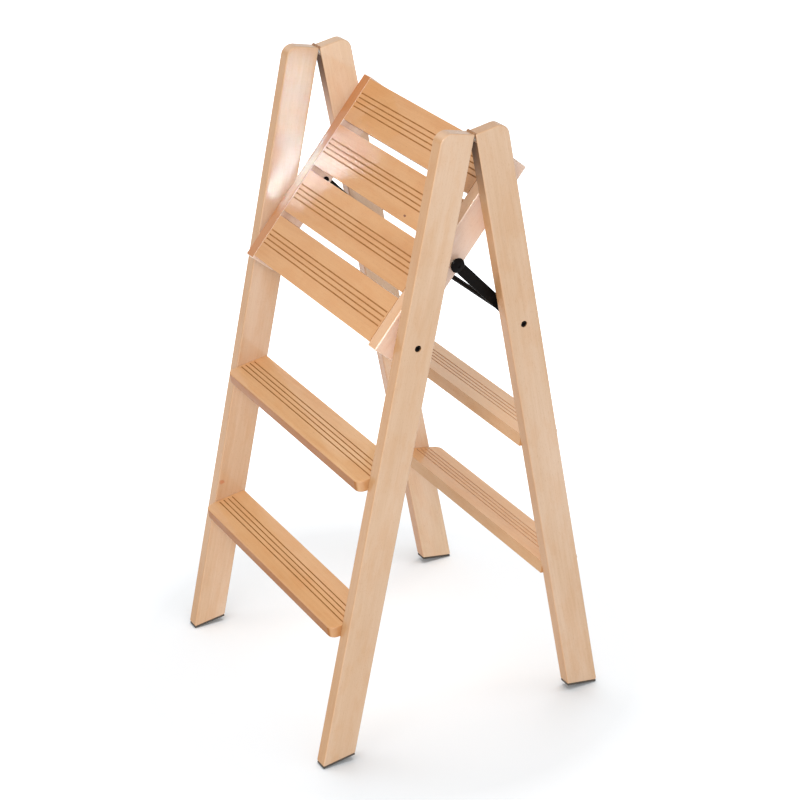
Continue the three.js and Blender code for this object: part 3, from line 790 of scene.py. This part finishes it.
# %% Rails
rail = block("rail", (RAIL_INNER, -RAIL_FRONT, RAIL_TOP - RAIL_HEIGHT),
             (RAIL_FACE, RAIL_REAR, RAIL_TOP))
pick("edges", lambda e: not all(same(v.co.x, RAIL_INNER) and same(v.co.z, RAIL_TOP)
                               for v in e.verts))
bpy.ops.mesh.bevel(offset=BOARD_ROUND, segments=4)
pick("edges", sharp(60))
bpy.ops.mesh.bevel(offset=JOINT_ROUND, segments=3)
bpy.ops.object.mode_set(mode="OBJECT")
smooth(rail)
for number, (side, mirrored) in enumerate(SIDES):
    finish = beech(f"beech_rail_{side}", -PLATFORM_SLOPE, "Y", RAIL_SEED + number,
                   RAIL_TONES[side])
    put(rail, f"rail_{side}", f"platform_rail_{side}", TO_PLATFORM, "platform",
        finish, mirrored)
discard(rail)

# %% [markdown]
# The slats lie between the rails, counted from the rear. The second one has a small dark
# knot near its right end.

# %% Slats
KNOT_SLAT, KNOT_PLACE = 1, Vector((0.085, -0.0265, 0))
KNOT = ((0.0035, 0.0018, 0.0018), tint(120, 62, 36), 0.9)
slat_half = RAIL_INNER - SEAT_GAP
slat = draw_step("slat", slat_half, -SLAT_WIDTH / 2, SLAT_WIDTH / 2, SLAT_THICK, 0,
                 SLAT_GROOVE_INSET)
first = RAIL_REAR - SLAT_REAR_INSET - SLAT_WIDTH / 2
for number in range(SLAT_COUNT):
    middle = first - number * (SLAT_WIDTH + SLAT_GAP)
    place = TO_PLATFORM @ Matrix.Translation((0, middle, RAIL_TOP))
    marks = [(place @ KNOT_PLACE, *KNOT)] if number == KNOT_SLAT else []
    finish = step_beech(f"beech_slat_{number + 1}", -PLATFORM_SLOPE, SLAT_SEED + number,
                        SLAT_TONES, marks)
    put(slat, f"slat_{number + 1}", f"platform_slat_{number + 1}", place, "platform",
        [finish, groove_painted_shade])
discard(slat)

# %% [markdown]
# ## Struts and their caps
#
# A strut is a flat bar with round ends. One end is threaded on the rod between the rear
# legs, and the other is held against its rail by a domed cap. The bar is a block whose end
# edges are bevelled as far as they go, then softened all round and drilled for the rod.

# %% The two struts
strut_inner = RAIL_FACE + SEAT_GAP + WASHER_THICK + SEAT_GAP
strut_outer = strut_inner + STRUT_THICK
strut = block("strut", (strut_inner, -STRUT_SPAN - STRUT_WIDTH / 2, -STRUT_WIDTH / 2),
              (strut_outer, STRUT_WIDTH / 2, STRUT_WIDTH / 2))
pick("edges", lambda e: abs(e.verts[0].co.x - e.verts[1].co.x) > MM)
bpy.ops.mesh.bevel(offset=STRUT_WIDTH / 2 - 0.01 * MM, segments=14)
pick("edges", sharp(40))
bpy.ops.mesh.bevel(offset=STRUT_EDGE, segments=3)
bpy.ops.object.mode_set(mode="OBJECT")
carve(strut, cylinder("eye", ROD_RADIUS + SEAT_GAP, strut_inner - OVER, strut_outer + OVER),
      cylinder("pin", BOLT_RADIUS + SEAT_GAP, strut_inner - OVER, strut_outer + OVER,
               -STRUT_SPAN))
smooth(strut)
for side, mirrored in SIDES:
    put(strut, f"strut_bar_{side}", f"strut_{side}", TO_STRUT, "struts",
        paint, mirrored)
discard(strut)
print("strut from rod to cap:", round(STRUT_SPAN, 4), "m")

# %% [markdown]
# Caps, nuts, bolt heads, washers, sleeves and the rod are all turned pieces. A turned
# piece is half a section spun round its axis, which is what a lathe does. The section
# lists points as (distance from the axis, place along it), from one end to the other.


# %% Turning on a lathe
def turn_piece(name, section, sides=40):
    mesh = bpy.data.meshes.new(name)
    points = [(along, 0, radius) for radius, along in section]
    mesh.from_pydata(points, [(k, k + 1) for k in range(len(points) - 1)], [])
    piece = bpy.data.objects.new(name, mesh)
    bpy.context.scene.collection.objects.link(piece)
    only(piece)
    bpy.ops.object.mode_set(mode="EDIT")
    bpy.ops.mesh.select_all(action="SELECT")
    bpy.ops.mesh.spin(steps=sides, angle=2 * pi, center=(0, 0, 0), axis=(1, 0, 0))
    bpy.ops.mesh.select_all(action="SELECT")
    bpy.ops.mesh.remove_doubles(threshold=0.005 * MM)
    bpy.ops.mesh.normals_make_consistent(inside=False)
    bpy.ops.object.mode_set(mode="OBJECT")
    smooth(piece)
    return piece


def dome(radius, rim, height, base, way, steps=9):
    """Points of a domed head, from its rim to near its crown."""
    return [(radius * cos(pi / 2 * k / steps), base + way * (rim + (height - rim) * sin(
        pi / 2 * k / steps))) for k in range(steps)]


def hex_socket(piece, depth, face):
    """Sinks a six-sided socket for a hex key into a head whose crown is at X = face."""
    carve(piece, cylinder("key", SOCKET_RADIUS, face - depth, face + OVER, sides=6))
    smooth(piece)


def draw_ring(name, outer, inner, start, end):
    """A washer or sleeve round the X axis, with broken outer edges."""
    return turn_piece(name, [
        (inner, start), (outer - RING_EDGE, start), (outer, start + RING_EDGE),
        (outer, end - RING_EDGE), (outer - RING_EDGE, end), (inner, end), (inner, start)])


# %% [markdown]
# The cap is a low dome with a small socket in its crown. Its shank passes through the
# strut and the washer, towards the rail.

# %% Strut caps and washers
cap_base = strut_outer + SEAT_GAP
cap = turn_piece("cap", [
    (0, RAIL_FACE + SEAT_GAP), (BOLT_RADIUS, RAIL_FACE + SEAT_GAP), (BOLT_RADIUS, cap_base),
    (CAP_RADIUS - CAP_EDGE, cap_base), (CAP_RADIUS, cap_base + CAP_EDGE),
    *dome(CAP_RADIUS, CAP_RIM, CAP_HEIGHT, cap_base, 1), (0, cap_base + CAP_HEIGHT)], 48)
hex_socket(cap, CAP_SOCKET_DEPTH, cap_base + CAP_HEIGHT)
washer = draw_ring("washer", WASHER_RADIUS, BOLT_RADIUS + SEAT_GAP, RAIL_FACE + SEAT_GAP,
                   strut_inner - SEAT_GAP)
at_pin = TO_STRUT @ Matrix.Translation((0, -STRUT_SPAN, 0))
for side, mirrored in SIDES:
    put(cap, f"cap_{side}", f"strut_cap_{side}", at_pin, "struts", cap_gloss,
        mirrored)
    put(washer, f"washer_{side}", f"strut_washer_{side}", at_pin, "struts",
        zinc, mirrored)
discard(cap, washer)

# %% [markdown]
# Inside each rail, a small domed nut closes the strut's bolt.

# %% Strut nuts
nut_base = RAIL_INNER - SEAT_GAP
nut = turn_piece("nut", [
    (0, nut_base - NUT_HEIGHT), *reversed(dome(NUT_RADIUS, NUT_RIM, NUT_HEIGHT, nut_base, -1)),
    (NUT_RADIUS, nut_base), (BOLT_RADIUS, nut_base), (BOLT_RADIUS, RAIL_INNER),
    (0, RAIL_INNER)], 32)
at_rail = TO_PLATFORM @ Matrix.Translation((0, *STRUT_PIN))
for side, mirrored in SIDES:
    put(nut, f"nut_{side}", f"strut_nut_{side}", at_rail, "platform",
        cap_gloss, mirrored)
discard(nut)

# %% [markdown]
# ## Bolts, rod, sleeves and spacers
#
# Black socket-head bolts hold the platform in the front legs and the rod in the rear legs.
# Only their heads show, sunk just below the wood. The rod carries a sleeve at each end,
# outside the strut, and each platform bolt has a spacer between leg and rail.

# %% Bolt, rod, sleeve and spacer
bolt_end, bolt_face = shoulder + BOLT_ROOM, HALF - HEAD_SINK
under_head = bolt_face - BOLT_HEAD_LENGTH
bolt = turn_piece("bolt", [
    (0, bolt_end), (BOLT_RADIUS - BOLT_EDGE, bolt_end), (BOLT_RADIUS, bolt_end + BOLT_EDGE),
    (BOLT_RADIUS, under_head), (BOLT_HEAD_RADIUS, under_head),
    (BOLT_HEAD_RADIUS, bolt_face - BOLT_EDGE), (BOLT_HEAD_RADIUS - BOLT_EDGE, bolt_face),
    (0, bolt_face)])
hex_socket(bolt, BOLT_SOCKET_DEPTH, bolt_face)
in_frame = Matrix.Translation((0, -PIVOT_FROM_MATING, -PIVOT_DROP))
rod_end = LEG_INNER - SEAT_GAP
spacer = draw_ring("spacer", SPACER_RADIUS, BOLT_RADIUS + SEAT_GAP, RAIL_FACE + SEAT_GAP,
                   rod_end)
sleeve = draw_ring("sleeve", SLEEVE_RADIUS, ROD_RADIUS + SEAT_GAP, cap_base, rod_end)
rod = turn_piece("rod", [
    (0, -rod_end), (ROD_RADIUS - ROD_EDGE, -rod_end), (ROD_RADIUS, -rod_end + ROD_EDGE),
    (ROD_RADIUS, rod_end - ROD_EDGE), (ROD_RADIUS - ROD_EDGE, rod_end), (0, rod_end)])
for side, mirrored in SIDES:
    for drawn, name, node in ((bolt, "bolt", "pivot_bolt"), (spacer, "spacer", "pivot_spacer")):
        put(drawn, f"{name}_{side}", f"{node}_{side}", TO_FRONT @ in_frame, "front_frame",
            paint, mirrored)
    for drawn, name, node in ((bolt, "rod_bolt", "cross_rod_screw"),
                              (sleeve, "sleeve", "cross_rod_sleeve")):
        put(drawn, f"{name}_{side}", f"{node}_{side}", TO_REAR @ in_frame, "rear_frame",
            paint, not mirrored)
put(rod, "rod", "cross_rod", TO_REAR @ in_frame, "rear_frame", paint)
discard(bolt, spacer, sleeve, rod)

# %% [markdown]
# ## Foot pads
#
# A thin rubber pad is stuck under each foot. Half open, the stool stands on the pads'
# outer edges. A pad is a block under the foot's slope, with soft edges.

# %% The four pads
pad = block("pad", (LEG_INNER + PAD_INSET, -pad_outer / cos(OPEN_LEAN), -pad_depth),
            (HALF - PAD_INSET, -(MATING_GAP + PAD_INSET) / cos(OPEN_LEAN), -SEAT_GAP))
pick("edges", sharp(30))
bpy.ops.mesh.bevel(offset=PAD_ROUND, segments=4)
bpy.ops.object.mode_set(mode="OBJECT")
smooth(pad)
under_foot = Matrix.Translation((0, 0, -LEG_LENGTH)) @ Matrix.Rotation(OPEN_LEAN, 4, "X")
for end, side, mirrored in CORNERS:
    put(pad, f"pad_{end}_{side}", f"{end}_foot_pad_{side}", TO_FRAME[end] @ under_foot,
        f"{end}_frame", rubber, mirrored)
discard(pad)

# %% [markdown]
# ## Hinges
#
# The hinges keep their CAD solids, which already have leaves, knuckles, pin and screws.
# All but the screws get a dull brown zinc, as painted shade for the dark crease deep between
# the legs. The screws keep bright zinc.

# %% Zinc on the hinges
plated = {name: node for name, node in frame["nodes"].items() if "hinge" in name}
for name, node in plated.items():
    node.data.materials.clear()
    node.data.materials.append(zinc if "screw" in name else zinc_in_painted_shade)
print(len(plated), "hinge pieces plated")

# %% [markdown]
# ## Studio
#
# The stool stands on a pale sweep. The floor shows nearly white to the camera, yet keeps a
# soft shadow round each foot, because part of its brightness is a glow that is seen but
# doesn't light anything. The glow is weakest round the feet, a little stronger in the middle
# between them, and further out it fills the floor up to white. The room beyond is white to
# the camera too, but lights the stool only about half as strongly.

# %% Floor and room
GLOW_IN_MIDDLE, GLOW_AT_FEET = 0.215, 0.095
MIDDLE_RADIUS, FEET_RADIUS, FADE_START, FADE_END = 0.05, 0.26, 0.24, 1.0
ROOM_LIGHT = 0.55


def pale_floor():
    s = Shader("pale_floor")
    place = s.add("ShaderNodeTexCoord", result="Object")
    away = s.add("ShaderNodeVectorMath", {0: place}, result="Value", operation="LENGTH")
    near = s.spread(away, MIDDLE_RADIUS, FEET_RADIUS, GLOW_IN_MIDDLE, GLOW_AT_FEET)
    far = s.spread(away, FADE_START, FADE_END)
    glow = s.math("MULTIPLY", s.seen(), s.math("MAXIMUM", near, far))
    return s.finish(Base_Color=(0.79, 0.82, 0.845, 1), Roughness=0.9,
                    Emission_Color=(0.98, 0.992, 1, 1), Emission_Strength=glow,
                    Specular_IOR_Level=0.0)


bpy.ops.object.select_all(action="DESELECT")
bpy.ops.mesh.primitive_plane_add(size=40, location=(0, 0, -0.0005))
floor = bpy.context.object
floor.name = "floor"
floor.data.materials.append(pale_floor())

world = bpy.data.worlds.new("studio")
bpy.context.scene.world = world
world.use_nodes = True
room = Tree(world.node_tree)
background = world.node_tree.nodes["Background"]
room.set(background.inputs["Color"], (1, 1, 1, 1))
room.set(background.inputs["Strength"], room.add("ShaderNodeMapRange", {
    "Value": room.seen(), "To Min": ROOM_LIGHT, "To Max": 1.0}))
print("the room lights the stool at", ROOM_LIGHT, "of what the camera sees")

# %% [markdown]
# The light is soft and comes from all round. The strongest softbox stands in front, above
# and left of the camera, and weaker ones fill in from the right and the left. A wide one
# overhead washes the floor alone. Only the legs and pads shade it, so that a soft shade is
# left where the feet stand.


# %% Softboxes
def softbox(name, place, target, width, height, watts, tilt=0.0, colour=(1, 1, 1)):
    lamp = bpy.data.lights.new(name, "AREA")
    lamp.shape, lamp.size, lamp.size_y, lamp.energy = "RECTANGLE", width, height, watts
    lamp.color = colour
    box = bpy.data.objects.new(name, lamp)
    box.location = place
    aim = Vector(target) - Vector(place)
    turned = aim.to_track_quat("-Z", "Y").to_matrix().to_4x4() @ Matrix.Rotation(tilt, 4, "Z")
    box.rotation_euler = turned.to_euler()
    box.visible_camera = False
    bpy.context.scene.collection.objects.link(box)
    return box


def linked(name, members, state="INCLUDE"):
    """A collection for light linking, with its members taken in or left out."""
    group = bpy.data.collections.new(name)
    for number, member in enumerate(members):
        group.objects.link(member)
        group.collection_objects[number].light_linking.link_state = state
    return group


not_floor = linked("not_floor", [floor], "EXCLUDE")
just_floor = linked("just_floor", [floor])
for name, place, target, size, watts in (
        ("front", (1.75, -1.9, 2.4), (0, 0, 0.6), 1.3, 52),
        ("key", (3.2, -0.3, 1.9), (0, 0, 0.5), 2.0, 8),
        ("left", (-3.0, 0.6, 1.6), (0, 0, 0.5), 1.8, 19)):
    box = softbox(name + "_softbox", place, target, size, size, watts)
    box.light_linking.receiver_collection = not_floor
    box.visible_glossy = name != "left"
wash = softbox("floor_wash", (0, 0, 2.6), (0, 0, 0), 1.3, 1.3, 45)
wash.light_linking.receiver_collection = just_floor
wash.light_linking.blocker_collection = linked("standing", [
    piece for piece in bpy.data.objects if piece.name.startswith(("leg_", "pad_"))])
wash.visible_glossy = False
print("softboxes:", [lamp.name for lamp in bpy.data.lights])

# %% [markdown]
# Small cards hardly light the wood, but their reflections lie as a pale sheen on the
# lacquer: on the left ends of the slats, on the left rail, and, broken up as by the panes of
# a window, on the inner faces of the left legs. The last two cards stand near the camera and
# bring out the right rail and its cap between the legs.

# %% Cards
SHEEN_TINT, RAIL_TINT, PANE_TINT = (0.72, 0.9, 1), (0.55, 0.95, 0.94), (0.66, 0.9, 0.95)
LEFT_X, PANE_X = -2.2, 1.2
PLATFORM_END, RAIL_MIDDLE = (-0.15, -0.05, 0.76), (-0.207, -0.055, 0.725)
NEAR_CAMERA, RIGHT_RAIL = (1.81, -1.67, 1.97), (0.2, 0, 0.8)
SLATS = [f"slat_{number + 1}" for number in range(SLAT_COUNT)]
LEFT_LEGS = ["leg_front_left", "leg_rear_left"]


def card(name, place, target, width, height, watts, tilt, pieces, colour=(1, 1, 1)):
    """A small softbox that shines on the named pieces alone, past whatever is between."""
    box = softbox(name, place, target, width, height, watts, tilt, colour)
    box.data.cycles.use_multiple_importance_sampling = False
    box.visible_diffuse = False
    lit = linked(name + "_lit", [bpy.data.objects[piece] for piece in pieces])
    box.light_linking.receiver_collection = lit
    box.light_linking.blocker_collection = just_floor
    return box


for number, (y, z, height, watts, tilt) in enumerate((
        (-1.055, 1.60, 0.20, 0.55, 0.3), (-1.05, 1.69, 0.18, 0.36, 0.0))):
    card(f"sheen_{number + 1}", (LEFT_X, y, z), PLATFORM_END, 0.11, height, watts, tilt,
         SLATS, SHEEN_TINT)
for number, (y, z, height, watts) in enumerate((
        (-1.03, 1.592, 0.115, 1.15), (-1.08, 1.510, 0.045, 0.18))):
    card(f"rail_sheen_{number + 1}", (LEFT_X, y, z), RAIL_MIDDLE, 0.16, height, watts, 0.0,
         ["rail_left"], RAIL_TINT)
for number, (y, z, width, height, watts, tilt) in enumerate((
        (0.665, 0.320, 0.140, 0.270, 0.28, 0.0), (0.663, 0.289, 0.070, 0.087, 0.30, -0.54),
        (0.642, 0.172, 0.128, 0.022, 0.52, 0.90), (0.678, 0.383, 0.078, 0.078, 0.16, -0.26))):
    card(f"window_{number + 1}", (PANE_X, y, z), (0, y, z), width, height, watts, tilt,
         LEFT_LEGS, PANE_TINT)
card("edge_card", NEAR_CAMERA, RIGHT_RAIL, 1.0, 1.0, 95, 0, ["rail_right", "cap_right"])
fill = card("rail_card", NEAR_CAMERA, RIGHT_RAIL, 0.4, 0.4, 15, 0, ["rail_right"])
fill.visible_diffuse, fill.visible_glossy = True, False
print(len(bpy.data.lights), "lamps in all")

# %% [markdown]
# ## Camera
#
# The camera looks from the right front and from above, a little more than three metres
# away, through a long lens. Its place was found by fitting the legs, treads and platform
# to the picture.

# %% Camera
CAMERA_PLACE = Vector((2.58404, -1.45096, 1.88308))
CAMERA_AZIMUTH, CAMERA_ELEVATION = radians(-60.3726), radians(25.9852)
CAMERA_ROLL = radians(0.2165)
SENSOR_WIDTH, FOCAL_LENGTH = 36, 100.042

camera_data = bpy.data.cameras.new("camera")
camera_data.sensor_width, camera_data.lens = SENSOR_WIDTH, FOCAL_LENGTH
camera_data.clip_end = 100
camera = bpy.data.objects.new("camera", camera_data)
bpy.context.scene.collection.objects.link(camera)
look = Vector((sin(CAMERA_AZIMUTH) * cos(CAMERA_ELEVATION),
               cos(CAMERA_AZIMUTH) * cos(CAMERA_ELEVATION), -sin(CAMERA_ELEVATION)))
level = Vector((cos(CAMERA_AZIMUTH), -sin(CAMERA_AZIMUTH), 0))
up = level.cross(look)
right = level * cos(CAMERA_ROLL) + up * sin(CAMERA_ROLL)
up = up * cos(CAMERA_ROLL) - level * sin(CAMERA_ROLL)
camera.matrix_world = Matrix((
    (right.x, up.x, -look.x, CAMERA_PLACE.x),
    (right.y, up.y, -look.y, CAMERA_PLACE.y),
    (right.z, up.z, -look.z, CAMERA_PLACE.z),
    (0, 0, 0, 1),
))
bpy.context.scene.camera = camera
bpy.context.scene.view_settings.view_transform = "Standard"
